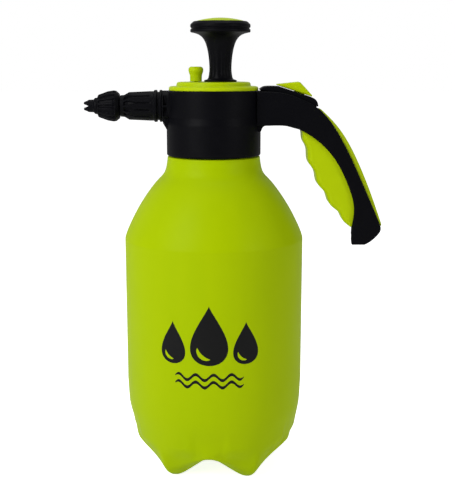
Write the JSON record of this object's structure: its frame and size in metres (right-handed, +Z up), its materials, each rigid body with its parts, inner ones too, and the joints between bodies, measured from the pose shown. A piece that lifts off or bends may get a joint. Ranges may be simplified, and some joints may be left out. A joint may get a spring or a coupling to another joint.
{
  "type": "pump sprayer",
  "caption": "Hand compression sprayer: blow-moulded bottle on a petaloid base, screw-on head with arched handle, pump, thumb trigger, relief valve and adjustable nozzle.",
  "frame": {"origin": "on the bottle's axis, at the level that its feet stand on", "axes": "+Z up along the bottle's axis, nozzle towards -X, handle towards +X"},
  "size_m": [0.2029, 0.123, 0.31],
  "materials": {
    "bottle_green": "semi-gloss blow-moulded polyethylene, opaque yellow-green",
    "cap_green": "satin injection-moulded polypropylene, yellow-green",
    "black_moulding": "satin black polypropylene with a fine moulded grain",
    "natural_plastic": "uncoloured acetal, off-white",
    "clear_tube": "milky translucent polyethylene tube",
    "black_rubber": "black nitrile rubber",
    "steel": "bright drawn stainless steel"
  },
  "bodies": {
    "bottle": {"bottle": "bottle_green"},
    "gasket": {"head_gasket": "black_rubber"},
    "head": {"head_shell": "black_moulding", "top_cap": "cap_green", "pump_barrel": "natural_plastic", "barrel_gasket": "black_rubber", "check_valve": "black_rubber", "rod_guide": "natural_plastic", "relief_spring": "steel", "valve_body": "natural_plastic", "valve_inlet": "natural_plastic", "valve_spring": "steel", "valve_seal": "black_rubber", "gland_nut": "natural_plastic", "dip_tube": "clear_tube", "strainer": "natural_plastic", "transfer_pipe": "natural_plastic", "nozzle_body": "black_moulding", "swirl_core": "natural_plastic", "grip_core": "cap_green", "grip_screws": "steel", "trigger_pin": "steel"},
    "cup": {"piston_cup": "black_rubber"},
    "pump": {"pump_rod": "natural_plastic", "piston": "natural_plastic", "pump_knob": "black_moulding", "knob_crown": "cap_green", "knob_screw": "steel"},
    "relief": {"relief_knob": "cap_green", "relief_plug": "black_rubber"},
    "trigger": {"trigger_lever": "black_moulding"},
    "valve": {"valve_stem": "steel", "valve_poppet": "black_rubber"},
    "lock": {"lock_slide": "cap_green", "lock_clip": "natural_plastic"},
    "nozzle_seal": {"nozzle_washer": "black_rubber"},
    "nozzle": {"nozzle_cap": "black_moulding", "nozzle_tip": "black_moulding"}
  },
  "joints": [
    {"name": "head_lift", "type": "slide", "parent": "bottle", "child": "gasket", "axis": [0, 0, 1], "range_m": [0, 0.00601]},
    {"name": "head_turn", "type": "hinge", "parent": "gasket", "child": "head", "pos_m": [0, 0, 0.23], "axis": [0, 0, 1], "range_deg": [0, 540]},
    {"name": "pump_stroke", "type": "slide", "parent": "head", "child": "cup", "axis": [0, 0, 1], "range_m": [0, 0.085]},
    {"name": "pump_spin", "type": "hinge", "parent": "cup", "child": "pump", "pos_m": [0.00465, 0, 0.2], "axis": [0, 0, 1], "continuous": true},
    {"name": "relief_lift", "type": "slide", "parent": "head", "child": "relief", "axis": [0, 0, 1], "range_m": [0, 0.004], "stiffness_N_per_m": 600, "springref_m": -0.004, "deforming": ["relief_spring"]},
    {"name": "trigger_press", "type": "hinge", "parent": "head", "child": "trigger", "pos_m": [0.036, 0, 0.2545], "axis": [0, 1, 0], "range_deg": [0, 9], "stiffness_Nm_per_rad": 0.3, "springref_deg": -11.46},
    {"name": "valve_lift", "type": "slide", "parent": "head", "child": "valve", "axis": [0, 0, 1], "range_m": [0, 0.00215], "deforming": ["valve_spring"]},
    {"name": "lock_push", "type": "slide", "parent": "trigger", "child": "lock", "axis": [-0.9518, 0, 0.3069], "range_m": [0, 0.0055]},
    {"name": "nozzle_advance", "type": "slide", "parent": "head", "child": "nozzle_seal", "axis": [-1, 0, 0], "range_m": [0, 0.00301]},
    {"name": "nozzle_turn", "type": "hinge", "parent": "nozzle_seal", "child": "nozzle", "pos_m": [-0.07, 0, 0.2518], "axis": [-1, 0, 0], "range_deg": [0, 720]}
  ],
  "couplings": [
    {"joint": "head_lift", "follows": "head_turn", "m_per_rad": 0.00063662},
    {"joint": "valve_lift", "follows": "trigger_press", "m_per_rad": 0.0134},
    {"joint": "nozzle_advance", "follows": "nozzle_turn", "m_per_rad": 0.00023873}
  ]
}
